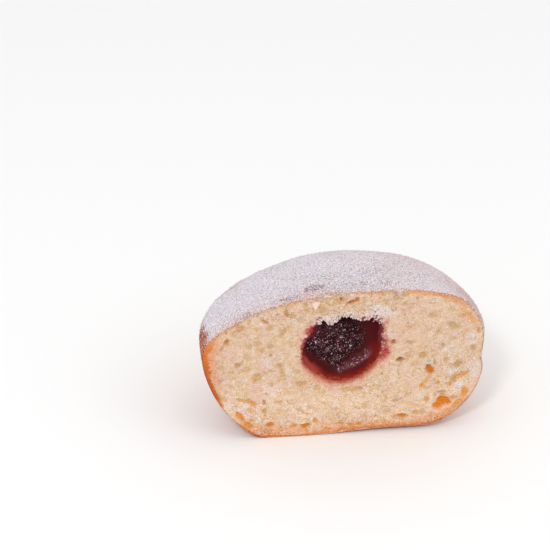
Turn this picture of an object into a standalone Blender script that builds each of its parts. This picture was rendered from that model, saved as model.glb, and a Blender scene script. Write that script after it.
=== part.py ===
"""Half of a jelly filled doughnut, cut down through with a knife and left standing on its flat base.

There are two solids: the dough, with a pocket that opens at the cut, and the jelly in that pocket.
Units are metres and +Z is up. The cut faces -Y, and +X is to the right of someone who looks at it.
The origin is on the base, under the middle of the piece's own box.

Both solids start as a sphere whose vertices a formula then moves. Angles follow the sphere: "around"
turns about its poles, and "rise" goes from -90 degrees at one pole to +90 degrees at the other.
"""

import math

import bmesh
import bpy
from mathutils import Vector

MM = 0.001

# The whole doughnut, before the cut. What leans is more at the right end by this much, and less at the left.
HALF_WIDTH = 42.75 * MM  # from the upright axis to the right or left end
HALF_LENGTH = 41.0 * MM  # from the upright axis to the back
HEIGHT = 48.6 * MM
CROWN_SLOPE = 0.06  # the top rises this much for each unit towards the right
CROWN_FULLNESS = 2.4  # superellipse exponents: 2 is an ellipse, and more is squarer
CROWN_LEAN = 0.3
UNDER_FULLNESS = 2.05
UNDER_LEAN = -0.14
WAIST_HEIGHT = 25.7 * MM  # where the side stands furthest out
WAIST_LEAN = -3.1 * MM
UNDER_SINK = 6.5 * MM  # the rounded underside would reach this far below the flat base
LANDING = 2.5 * MM  # the underside turns into the base over this height
BASE_TRIM = 0.15 * MM  # cut off below, so that the base is one flat face

# The soft belt round the middle, where the two fried sides meet. It is deepest at the right end.
BELT_HEIGHT = 26.0 * MM
BELT_SPREAD = 2.8 * MM
BELT_DEPTH = 0.3 * MM
BELT_DEPTH_RIGHT = 0.7 * MM

# Uneven proving: waves round the plan, each with its count and its share of the radius. They cancel out
# at the two ends and at the back, where the sizes above are measured.
PLAN_WAVES = ((3, 0.003), (4, 0.004), (5, 0.003))

# The knife goes down this far in front of the upright axis.
CUT_AHEAD = 6.0 * MM
PIECE_LENGTH = CUT_AHEAD + HALF_LENGTH
CUT_Y = -PIECE_LENGTH / 2
AXIS_Y = CUT_Y + CUT_AHEAD

# The jelly and its pocket. The section at the cut is a bowl with a flat roof.
JELLY_CENTRE_X = -0.4 * MM
JELLY_CENTRE_HEIGHT = 29.4 * MM
JELLY_HALF_WIDTH = 12.9 * MM
JELLY_ROOF = 10.9 * MM  # from the centre up to the roof
JELLY_BOWL = 11.5 * MM  # from the centre down to the bottom of the bowl
ROOF_FULLNESS = 3.0
BOWL_FULLNESS = 2.1
ROOF_SLOPE = 0.05  # the roof rises this much for each unit towards the right
JELLY_DEPTH = 19.0 * MM  # from the cut to the far end, beyond the upright axis
DEPTH_FULLNESS = 2.6
JELLY_RECESS = 1.2 * MM  # how far behind the cut the jelly's rim lies
JELLY_BULGE = 1.0 * MM  # its face swells forward by this much, most of it below the middle
BULGE_DROP = 0.35  # the swelling's centre, as a share of the bowl's depth below the jelly's centre
POCKET_GAP = 0.3 * MM  # between the jelly and the dough, because two meshes can't share a wall

# Fineness of the meshes.
DOUGH_AROUND = 84
DOUGH_RINGS = 52
JELLY_AROUND = 44
JELLY_RINGS = 20

CUTTER_REACH = 5.0 * MM  # how far the pocket's cutter stands out in front of the cut
MERGE = 0.01 * MM
SHARP_FROM = math.radians(35)

# Colours are linear.
CRUMB_COLOUR = (0.74, 0.51, 0.34)
CRUMB_ROUGHNESS = 0.85
JELLY_COLOUR = (0.056, 0.012, 0.014)
JELLY_ROUGHNESS = 0.12


def clear_scene():
    for old in list(bpy.data.objects):
        bpy.data.objects.remove(old, do_unlink=True)


def make_collection(name):
    made = bpy.data.collections.new(name)
    bpy.context.scene.collection.children.link(made)
    return made


def make_material(name, colour, roughness):
    made = bpy.data.materials.new(name)
    made.use_nodes = True
    shader = made.node_tree.nodes["Principled BSDF"]
    shader.inputs["Base Color"].default_value = (*colour, 1.0)
    shader.inputs["Roughness"].default_value = roughness
    shader.inputs["Metallic"].default_value = 0.0
    return made


def signed_power(value, exponent):
    return math.copysign(abs(value) ** exponent, value)


def superellipse(angle, fullness):
    """The unit superellipse's point at this angle: (along, up)."""
    exponent = 2 / fullness
    return signed_power(math.cos(angle), exponent), signed_power(math.sin(angle), exponent)


def plan_radius(around):
    """From the upright axis to the skin at the waist: an oval with the waves of uneven proving."""
    oval = 1 / math.hypot(math.cos(around) / HALF_WIDTH, math.sin(around) / HALF_LENGTH)
    waves = sum(share * math.sin(count * around) for count, share in PLAN_WAVES)
    return oval * (1 + waves)


def belt_depth(around, height):
    """How far the belt draws the skin in at this height."""
    right = max(0.0, math.cos(around))
    depth = BELT_DEPTH + BELT_DEPTH_RIGHT * right**2
    return depth * math.exp(-(((height - BELT_HEIGHT) / BELT_SPREAD) ** 2))


def landed(height):
    """Turns a height on the rounded underside into the true one, where it flattens towards the base."""
    if height > LANDING:
        return height
    above = max(0.0, height + LANDING)
    return above**2 / (4 * LANDING) - BASE_TRIM


def skin_point(around, rise):
    """A point of the whole doughnut's skin. What is below the base is sliced away afterwards."""
    right = math.cos(around)
    waist = WAIST_HEIGHT + WAIST_LEAN * right
    if rise < 0:
        along, up = superellipse(rise, UNDER_FULLNESS + UNDER_LEAN * right)
    else:
        along, up = superellipse(rise, CROWN_FULLNESS + CROWN_LEAN * right)
    radius = plan_radius(around) * max(along, 0.0)
    crown = HEIGHT + CROWN_SLOPE * radius * right
    height = waist + up * (waist + UNDER_SINK if rise < 0 else crown - waist)
    radius = max(0.0, radius - belt_depth(around, height))
    return Vector((radius * right, AXIS_Y + radius * math.sin(around), landed(height)))


def jelly_section(around):
    """(across, up) from the jelly's centre to its edge, in the plane of the cut."""
    roof = math.sin(around) > 0
    along, up = superellipse(around, ROOF_FULLNESS if roof else BOWL_FULLNESS)
    across = along * JELLY_HALF_WIDTH
    lift = ROOF_SLOPE * across if roof else 0.0
    return across, up * ((JELLY_ROOF + lift) if roof else JELLY_BOWL)


def jelly_face(across, up, share):
    """How far behind the cut the jelly's face lies, share being 0 at its middle and 1 at its rim."""
    low = (up + BULGE_DROP * JELLY_BOWL) / JELLY_BOWL
    swelling = math.exp(-2 * low**2) * math.exp(-2 * (across / JELLY_HALF_WIDTH) ** 2)
    return JELLY_RECESS - JELLY_BULGE * swelling * (1 - share**4)


def jelly_point(around, rise):
    """A point of the jelly, whose poles are at the middle of its face and at its far end."""
    across, up = jelly_section(around)
    if rise > 0:
        share = math.cos(rise)
        depth = jelly_face(across * share, up * share, share)
    else:
        share, back = superellipse(-rise, DEPTH_FULLNESS)
        depth = JELLY_RECESS + back * (JELLY_DEPTH - JELLY_RECESS)
    return Vector((JELLY_CENTRE_X + across * share, CUT_Y + depth, JELLY_CENTRE_HEIGHT + up * share))


def pocket_point(around, rise):
    """A point of the pocket's cutter: the jelly grown by the gap, and run out in front of the cut."""
    across, up = jelly_section(around)
    if rise > 0:
        share = math.cos(rise)
        depth = -CUTTER_REACH * math.sin(rise)
    else:
        share, back = superellipse(-rise, DEPTH_FULLNESS)
        depth = back * (JELLY_DEPTH + POCKET_GAP)
    share *= 1 + POCKET_GAP / math.hypot(across, up)
    return Vector((JELLY_CENTRE_X + across * share, CUT_Y + depth, JELLY_CENTRE_HEIGHT + up * share))


def shaped_sphere(around_count, ring_count, point_at):
    """A closed mesh: a sphere whose vertices go where point_at(around, rise) says."""
    body = bmesh.new()
    bmesh.ops.create_uvsphere(body, u_segments=around_count, v_segments=ring_count, radius=1.0)
    for vertex in body.verts:
        rise = math.asin(max(-1.0, min(1.0, vertex.co.z)))
        around = math.atan2(vertex.co.y, vertex.co.x)
        vertex.co = point_at(around, rise)
    return body


def slice_away(body, point, normal):
    """Cuts off what lies on the normal's side of a plane, and closes the cut with one flat face."""
    cut = bmesh.ops.bisect_plane(
        body,
        geom=body.verts[:] + body.edges[:] + body.faces[:],
        dist=MERGE,
        plane_co=point,
        plane_no=normal,
        clear_outer=True,
    )
    edges = [item for item in cut["geom_cut"] if isinstance(item, bmesh.types.BMEdge)]
    bmesh.ops.edgeloop_fill(body, edges=edges)
    bmesh.ops.recalc_face_normals(body, faces=body.faces)


def add_object(name, body, collection, material=None):
    """Turns a bmesh into an object whose flat cuts stay sharp beside its smooth skin."""
    mesh = bpy.data.meshes.new(name)
    body.to_mesh(mesh)
    body.free()
    mesh.shade_smooth()
    mesh.set_sharp_from_angle(angle=SHARP_FROM)
    if material:
        mesh.materials.append(material)
    made = bpy.data.objects.new(name, mesh)
    collection.objects.link(made)
    return made


def make_dough(parts, cutters):
    body = shaped_sphere(DOUGH_AROUND, DOUGH_RINGS, skin_point)
    slice_away(body, Vector((0, 0, 0)), Vector((0, 0, -1)))
    slice_away(body, Vector((0, CUT_Y, 0)), Vector((0, -1, 0)))
    dough = add_object("dough", body, parts, make_material("dough", CRUMB_COLOUR, CRUMB_ROUGHNESS))

    pocket = shaped_sphere(JELLY_AROUND, JELLY_RINGS, pocket_point)
    cutter = add_object("pocket_cutter", pocket, cutters)
    cutter.hide_render = True
    cutter.display_type = "WIRE"

    boolean = dough.modifiers.new("pocket", "BOOLEAN")
    boolean.operation = "DIFFERENCE"
    boolean.solver = "EXACT"
    boolean.object = cutter


def make_jelly(parts):
    body = shaped_sphere(JELLY_AROUND, JELLY_RINGS, jelly_point)
    add_object("jelly", body, parts, make_material("jelly", JELLY_COLOUR, JELLY_ROUGHNESS))


def main():
    clear_scene()
    parts = make_collection("jelly_filled_doughnut")
    cutters = make_collection("cutters")
    make_dough(parts, cutters)
    make_jelly(parts)


main()
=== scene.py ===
"""Dresses the cut half of a jelly filled doughnut: crumb, fried skin, powdered sugar and wet jelly.

Shapes are worked out with numpy, in millimetres, and become metres when a mesh is made. The skin's
shape repeats the solid's own formula, so that every piece lies on it. The frame gives the cut's plane.
"""

import math

import bmesh
import bpy
import numpy as np
from mathutils import Matrix, Vector, noise


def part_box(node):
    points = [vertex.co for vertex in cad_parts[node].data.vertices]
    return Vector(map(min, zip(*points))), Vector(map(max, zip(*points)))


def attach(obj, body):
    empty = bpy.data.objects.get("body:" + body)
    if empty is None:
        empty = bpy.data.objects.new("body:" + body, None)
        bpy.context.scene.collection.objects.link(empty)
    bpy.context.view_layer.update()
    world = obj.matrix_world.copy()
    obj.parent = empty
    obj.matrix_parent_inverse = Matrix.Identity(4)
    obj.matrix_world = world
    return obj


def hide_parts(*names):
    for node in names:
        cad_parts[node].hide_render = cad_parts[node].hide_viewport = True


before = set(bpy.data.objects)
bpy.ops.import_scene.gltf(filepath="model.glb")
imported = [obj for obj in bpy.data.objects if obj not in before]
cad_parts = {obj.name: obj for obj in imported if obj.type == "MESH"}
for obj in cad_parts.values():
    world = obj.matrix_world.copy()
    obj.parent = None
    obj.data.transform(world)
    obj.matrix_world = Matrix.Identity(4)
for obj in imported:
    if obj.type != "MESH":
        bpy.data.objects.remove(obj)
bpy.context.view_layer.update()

MM = 0.001
TAU = 2 * math.pi
TINY = 1e-9

# The skin, as in the solids.
CUT_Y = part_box("dough")[0][1] / MM
CUT_AHEAD = 6.0
AXIS_Y = CUT_Y + CUT_AHEAD
HALF_WIDTH = 42.75
HALF_LENGTH = 41.0
HEIGHT = 48.6
CROWN_SLOPE = 0.06
CROWN_FULLNESS = 2.4
CROWN_LEAN = 0.3
UNDER_FULLNESS = 2.05
UNDER_LEAN = -0.14
WAIST_HEIGHT = 25.7
WAIST_LEAN = -3.1
UNDER_SINK = 6.5
LANDING = 2.5
BASE_TRIM = 0.15
BELT_HEIGHT = 26.0
BELT_SPREAD = 2.8
BELT_DEPTH = 0.3
BELT_DEPTH_RIGHT = 0.7
PLAN_WAVES = ((3, 0.003), (4, 0.004), (5, 0.003))

# The jelly's section at the cut, as in the solids.
JELLY_X = -0.4
JELLY_Z = 29.4
JELLY_HALF_WIDTH = 12.9
JELLY_ROOF = 10.9
JELLY_BOWL = 11.5
ROOF_FULLNESS = 3.0
BOWL_FULLNESS = 2.1
JELLY_DEPTH = 19.0
DEPTH_FULLNESS = 2.6

# The photograph's view, worked back from the two doughnuts' outlines.
VIEW_TURN = math.radians(8.0)
VIEW_RISE = math.radians(32.0)
VIEW_DISTANCE = 630.0
AIM_LEFT = 21.13
AIM_UP = 23.57
SENSOR = 36.0
LENS = 137.45

# How the photographed half differs from the solids. The cut's upper edge stands higher at each x by so much,
# and above all at its right shoulder. The crown behind it is lower, most of all at that shoulder. The right
# of the underside lifts off.
CUT_RISE = ((-40, 0.0), (-34, 0.2), (-28, 0.9), (0, 0.9), (8, 0.4), (16, 0.8), (24, 1.0), (38, 0.8))
SHOULDER_RISE = 1.3
CROWN_SINK = 0.2
SHOULDER_SINK = 0.5
HEEL_RISE = 1.5
# Where each of these sets in, and where it is whole.
RIGHT_END = (26, 36)  # along x
BOTH_ENDS = (24, 38)  # along x, either way
UPPER_EDGE = (26, 42)  # up z
CROWN_BEHIND = 16  # the crown is lower from this far behind the cut, and nearer by CROWN_NEARER at the right
CROWN_NEARER = 9
SHOULDER_X = 35
SHOULDER_WIDE = 7
SHOULDER_DEEP = 3
HEEL_START = (-14, 14)  # along x
HEEL_END = (22, 32)  # along x, where most of it ends
HEEL_TOP = (3, 16)  # up z, where it ends
# Both ends move outwards by so much at each height: (z, left, right).
END_SHIFT = (
    (0, -0.9, 0), (6, -0.8, 0.2), (13, -0.6, -0.4), (19, -0.3, -0.8), (26, 0.5, -0.8), (36, 0.9, 0.2),
    (42, 0.3, 0.1), (49, 0, 0),
)  # fmt: skip

# How fine the meshes are.
CRUMB_AROUND = 800
CRUMB_FACE_RINGS = 92
SKIN_AROUND = 780
SKIN_RINGS = 115
JELLY_AROUND = 420
JELLY_FACE_RINGS = 110
# More than 1 crowds the rings of the cut towards the pocket, and those of the skin towards the cut.
CRUMB_CROWDING = 1.12
SKIN_CROWDING = 1.15


# --- shape of the skin


# How far out the skin is searched for, and how often that reach is halved.
SKIN_SEARCH = 70.0
SKIN_HALVINGS = 34


def unlanded(height):
    """The height on the rounded underside before it flattened towards the base."""
    flattened = -LANDING + np.sqrt(4 * LANDING * np.maximum(height + BASE_TRIM, 0))
    return np.where(height > LANDING, height, flattened)


def beyond_skin(points):
    """Below 0 inside the whole doughnut, 0 on its skin and above 0 outside."""
    x, y, z = points[..., 0], points[..., 1] - AXIS_Y, points[..., 2]
    radius = np.maximum(np.hypot(x, y), TINY)
    right, back = x / radius, y / radius
    turn = np.arctan2(y, x)
    plan = 1 / np.hypot(right / HALF_WIDTH, back / HALF_LENGTH)
    plan = plan * (1 + sum(share * np.sin(count * turn) for count, share in PLAN_WAVES))
    belt = BELT_DEPTH + BELT_DEPTH_RIGHT * np.maximum(right, 0) ** 2
    belt = belt * np.exp(-(((z - BELT_HEIGHT) / BELT_SPREAD) ** 2))
    waist = WAIST_HEIGHT + WAIST_LEAN * right
    height = unlanded(z)
    over = height > waist
    span = np.where(over, HEIGHT + CROWN_SLOPE * x - waist, waist + UNDER_SINK)
    fullness = np.where(over, CROWN_FULLNESS + CROWN_LEAN * right, UNDER_FULLNESS + UNDER_LEAN * right)
    level = ((radius + belt) / plan) ** fullness + (np.abs(height - waist) / span) ** fullness - 1
    return np.where(z < 0, np.maximum(level, 0) - z, level)


def reach_skin(start, directions):
    """How far from a point inside the skin lies in each direction, found by halving."""
    near = np.zeros(directions.shape[:-1])
    far = np.full(near.shape, SKIN_SEARCH)
    for _ in range(SKIN_HALVINGS):
        middle = (near + far) / 2
        inside = beyond_skin(start + directions * middle[..., None]) < 0
        near = np.where(inside, middle, near)
        far = np.where(inside, far, middle)
    return (near + far) / 2


def jelly_radius(angle, grow):
    """From the jelly's centre to its edge at the cut, or to one that has grown, in each direction."""
    across, up = np.cos(angle), np.sin(angle)
    roof = up > 0
    fullness = np.where(roof, ROOF_FULLNESS, BOWL_FULLNESS)
    tall = np.where(roof, JELLY_ROOF, JELLY_BOWL) + grow
    wide = JELLY_HALF_WIDTH + grow
    return (np.abs(across / wide) ** fullness + np.abs(up / tall) ** fullness) ** (-1 / fullness)


# --- helpers


def xyz(points):
    """The three coordinates of points, each as its own array."""
    return np.moveaxis(points, -1, 0)


def smooth(value, low, high):
    """0 up to low, 1 from high on, and a soft step between."""
    share = np.clip((value - low) / (high - low), 0, 1)
    return share * share * (3 - 2 * share)


def bell(value, width):
    return np.exp(-((value / width) ** 2))


def fractal(points, size, octaves, shift=0):
    """Cloudy noise from about -1 to 1, whose largest lumps are as wide as size."""
    flat = (points / size + shift).reshape(-1, 3)
    values = np.array([noise.fractal(point, 1, 2, octaves) for point in flat.tolist()])
    return values.reshape(points.shape[:-1])


def cells(points, size):
    """0 on the walls of a foam whose bubbles are as wide as size, and up to about 1 inside a bubble."""
    flat = (points / size).reshape(-1, 3)
    reaches = np.array([noise.voronoi(point)[0][:2] for point in flat.tolist()])
    return (reaches[:, 1] - reaches[:, 0]).reshape(points.shape[:-1])


def about(points, x, z, wide, tall=None, tilt=0):
    """Where points lie from (x, z) in the plane of the cut, turned by tilt and counted in half sizes."""
    turn = math.radians(tilt)
    across, up = points[..., 0] - x, points[..., 2] - z
    along = across * math.cos(turn) + up * math.sin(turn)
    over = up * math.cos(turn) - across * math.sin(turn)
    return along / wide, over / (tall or wide)


def spot(points, *place):
    """A soft spot in the plane of the cut: 1 in its middle, and fading out over its half width."""
    along, over = about(points, *place)
    return np.exp(-(along**2) - over**2)


def off_path(points, path):
    """How far points lie from a line through (x, z) corners, in the plane of the cut."""
    x, _, z = xyz(points)
    nearest = np.full(x.shape, np.inf)
    for (x0, z0), (x1, z1) in zip(path[:-1], path[1:]):
        run, rise = x1 - x0, z1 - z0
        share = np.clip(((x - x0) * run + (z - z0) * rise) / (run**2 + rise**2), 0, 1)
        nearest = np.minimum(nearest, np.hypot(x - x0 - share * run, z - z0 - share * rise))
    return nearest


def lay(colours, *coats):
    """A colour, or many, with (share, colour) coats laid over, each as strongly as its share says."""
    for share, colour in coats:
        colours = colours + (np.asarray(colour) - colours) * np.clip(share, 0, 1)[..., None]
    return colours


def screen(red, green, blue):
    """A colour as a screen shows it, from 0 to 255, turned linear."""
    shown = np.array((red, green, blue)) / 255
    return np.where(shown <= 0.04045, shown / 12.92, ((shown + 0.055) / 1.055) ** 2.4)


def plain(shape, colour):
    return np.broadcast_to(colour, (*shape, 3)).copy()


def grid_normals(grid):
    """Unit normals of rings of points, by differences to the neighbours."""
    along = np.gradient(grid, axis=0)
    around = np.roll(grid, -1, axis=1) - np.roll(grid, 1, axis=1)
    normals = np.cross(along, around)
    return normals / np.maximum(np.linalg.norm(normals, axis=-1, keepdims=True), TINY)


def settle(points):
    """Moves points of the solids' shapes to where the photographed half has them."""
    x, y, z = xyz(points)
    right_end = smooth(x, *RIGHT_END)
    behind = smooth(y - CUT_Y, 1, CROWN_BEHIND - CROWN_NEARER * right_end)
    sink = CROWN_SINK + SHOULDER_SINK * right_end
    lift = np.interp(x, *np.transpose(CUT_RISE)) * (1 - behind) - sink * behind
    lift = lift + SHOULDER_RISE * bell(x - SHOULDER_X, SHOULDER_WIDE) * bell(y - CUT_Y, SHOULDER_DEEP)
    heel = smooth(x, *HEEL_START) * (1 - 0.8 * smooth(x, *HEEL_END)) * (1 - smooth(z, *HEEL_TOP))
    heights, left, right = np.transpose(END_SHIFT)
    outward = np.where(x > 0, np.interp(z, heights, right), -np.interp(z, heights, left))
    outward = outward * smooth(np.abs(x), *BOTH_ENDS)
    return np.stack([x + outward, y, z + lift * smooth(z, *UPPER_EDGE) + HEEL_RISE * heel], axis=-1)


def add_object(name, data, transform=None):
    made = bpy.data.objects.new(name, data)
    if transform is not None:
        made.matrix_world = transform
    bpy.context.scene.collection.objects.link(made)
    return made


def add_mesh(name, points, faces, colours, fields=None):
    """An object of points in millimetres, with its own colours and further values at each point."""
    mesh = bpy.data.meshes.new(name)
    mesh.from_pydata((settle(points) * MM).tolist(), [], faces)
    shades = np.ones((len(points), 4), np.float32)
    shades[:, :3] = colours
    mesh.attributes.new("paint", "FLOAT_COLOR", "POINT").data.foreach_set("color", shades.ravel())
    for field, values in (fields or {}).items():
        layer = mesh.attributes.new(field, "FLOAT", "POINT")
        layer.data.foreach_set("value", values.astype(np.float32))
    mesh.shade_smooth()
    made = add_object(name, mesh)
    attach(made, "root")
    return made


def with_poles(values):
    """Values in rings as one list, with the middle of the first ring before them and the last's after."""
    ends = [values[end].mean(0)[None] for end in (0, -1)]
    return np.concatenate([ends[0], values.reshape(-1, *values.shape[2:]), ends[1]])


def loft(name, rings, first, last, colours, fields=None):
    """A closed skin through rings of points, with a pole at each end."""
    count, around = rings.shape[:2]
    index = 1 + np.arange(count * around).reshape(count, around)
    beside = np.roll(index, -1, axis=1)
    quads = np.stack([index[:-1], index[1:], beside[1:], beside[:-1]], axis=-1).reshape(-1, 4)
    start = np.stack([np.zeros(around, int), index[0], beside[0]], axis=-1)
    end = np.stack([np.full(around, count * around + 1), beside[-1], index[-1]], axis=-1)
    points = with_poles(rings)
    points[0], points[-1] = first, last
    faces = start.tolist() + quads.tolist() + end.tolist()
    flat = {field: with_poles(values) for field, values in (fields or {}).items()}
    return add_mesh(name, points, faces, with_poles(colours), flat)


def join_bodies(name, bodies, faces, colours):
    """One mesh of many small closed bodies that share the layout of their faces."""
    count, step = len(bodies), len(bodies[0])
    all_faces = (faces[None] + step * np.arange(count)[:, None, None]).reshape(-1, faces.shape[1])
    return add_mesh(name, np.concatenate(bodies), all_faces.tolist(), np.repeat(colours, step, 0))


# --- node materials


class Paint:
    """A Principled material and short calls for its nodes. Sizes are in millimetres."""

    def __init__(self, name):
        self.material = bpy.data.materials.new(name)
        self.material.use_nodes = True
        self.tree = self.material.node_tree
        self.place = self.tree.nodes.new("ShaderNodeTexCoord").outputs["Object"]

    def plug(self, sockets, given):
        """Links or sets sockets, which are given by their names or numbers."""
        for name, value in given.items():
            socket = sockets[name]
            if isinstance(value, bpy.types.NodeSocket):
                self.tree.links.new(value, socket)
            elif socket.type == "RGBA":
                socket.default_value = (*value, 1)
            else:
                socket.default_value = value

    def node(self, kind, result, inputs, **settings):
        """The output of a new node, whose settings are made before its inputs."""
        made = self.tree.nodes.new("ShaderNode" + kind)
        for name, value in settings.items():
            setattr(made, name, value)
        self.plug(made.inputs, inputs)
        return made.outputs[result]

    def field(self, name, result="Fac"):
        """The values that the mesh carries by this name."""
        return self.node("Attribute", result, {}, attribute_name=name)

    def painted(self):
        """The colours that the mesh carries."""
        return self.field("paint", "Color")

    def cloud(self, size, detail, roughness):
        """Noise from 0 to 1 whose lumps are as wide as size."""
        inputs = {"Vector": self.place, "Scale": 1 / (size * MM), "Detail": detail, "Roughness": roughness}
        return self.node("TexNoise", "Fac", inputs)

    def maths(self, kind, first, second):
        return self.node("Math", "Value", {0: first, 1: second}, operation=kind)

    def step(self, value, low, high, start=0, end=1):
        """A soft step from start, up to low, to end, from high on."""
        inputs = {"Value": value, "From Min": low, "From Max": high, "To Min": start, "To Max": end}
        return self.node("MapRange", "Result", inputs, interpolation_type="SMOOTHSTEP")

    def mix(self, share, first, second, kind="MIX"):
        """A mix of two colours, which are sockets 6 and 7 of the node, and its output 2."""
        inputs = {"Factor": share, 6: first, 7: second}
        return self.node("Mix", 2, inputs, data_type="RGBA", blend_type=kind)

    def bump(self, height, depth, **onto):
        """Relief that is depth millimetres deep where height goes from 0 to 1."""
        return self.node("Bump", "Normal", {"Distance": depth * MM, "Height": height, **onto})

    def finish(self, **sockets):
        given = {name.replace("_", " "): value for name, value in sockets.items()}
        self.plug(self.tree.nodes["Principled BSDF"].inputs, given)
        return self.material


# --- the cut's own layout


# The points of the cut's plane that rings are measured from: the crumb's and the jelly's, and the skin's.
HUB = np.array([JELLY_X, CUT_Y, JELLY_Z])
SKIN_HUB = np.array([0.0, CUT_Y, 24.0])
OUTLINE_STEPS = 4001


def in_plane(angle):
    """Directions in the plane of the cut, from +X round to +Z."""
    return np.stack([np.cos(angle), np.zeros_like(angle), np.sin(angle)], axis=-1)


def tipped_back(angle, tip):
    """Directions in the plane of the cut, tipped back from it towards the far end."""
    flat = in_plane(angle) * np.cos(tip)
    flat[..., 1] = np.sin(tip)
    return flat


def even_angles(start, count):
    """Angles about a point in the cut's plane that mark equal lengths of the cut's outline."""
    fine = np.linspace(0, TAU, OUTLINE_STEPS)
    outline = start + in_plane(fine) * reach_skin(start, in_plane(fine))[:, None]
    steps = np.linalg.norm(np.diff(outline, axis=0), axis=-1)
    lengths = np.concatenate([[0], np.cumsum(steps)])
    return np.interp(np.linspace(0, lengths[-1], count, endpoint=False), lengths, fine)


def below_skin(points):
    """Roughly how far a point inside lies under the skin, measured in the plane of the cut."""
    step = 0.05
    level = beyond_skin(points)
    slope_x = (beyond_skin(points + (step, 0, 0)) - level) / step
    slope_z = (beyond_skin(points - (0, 0, step)) - level) / step
    return np.minimum(-level / np.maximum(np.hypot(slope_x, slope_z), TINY), points[..., 2])


def skin_rings(angles, tips, inset=0):
    """Rings of points on the skin, or under it by inset, tipped back from the cut one after another."""
    rings = []
    for tip in tips:
        tipped = tipped_back(angles, math.radians(tip))
        depth = inset * (1 - math.exp(-tip / 0.8))
        rings.append(SKIN_HUB + tipped * (reach_skin(SKIN_HUB, tipped) - depth)[:, None])
    return np.array(rings)


def skin_back(inset=0):
    """The rearmost point of the skin behind SKIN_HUB, or one under it."""
    back = np.array([[0, 1, 0]])
    return SKIN_HUB + back[0] * (reach_skin(SKIN_HUB, back)[0] - inset)


# --- the crumb: cut face and pocket


PALE_CRUMB = screen(228, 199, 170)
TAN_CRUMB = screen(214, 178, 140)
WHITE_CRUMB = screen(234, 216, 204)
COOL_CRUMB = screen(226, 216, 213)
PINK_CRUMB = screen(229, 188, 170)
YELLOW_CRUMB = screen(228, 192, 153)
ORANGE_CRUMB = screen(230, 142, 56)
PORE_TAN = screen(202, 162, 114)
PORE_GOLD = screen(220, 148, 74)
PORE_ORANGE = screen(212, 118, 8)
CRACK = screen(168, 116, 76)
FRECKLE = screen(176, 136, 108)
TORN_CRUMB = screen(226, 204, 198)
FLAKE_CREAM = screen(232, 202, 184)
RIND_GOLD = screen(216, 163, 117)
RIND_ORANGE = screen(214, 120, 54)
RIND_BROWN = screen(178, 82, 38)
RIND_PINK = screen(230, 176, 152)
BLUSH = screen(216, 150, 116)
STAIN_EDGE = screen(170, 84, 62)
STAIN_PLUM = screen(140, 68, 72)
STAIN_RED = screen(166, 42, 42)
STAIN_DARK = screen(92, 28, 34)
STAIN_PINK = screen(214, 156, 134)

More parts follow.
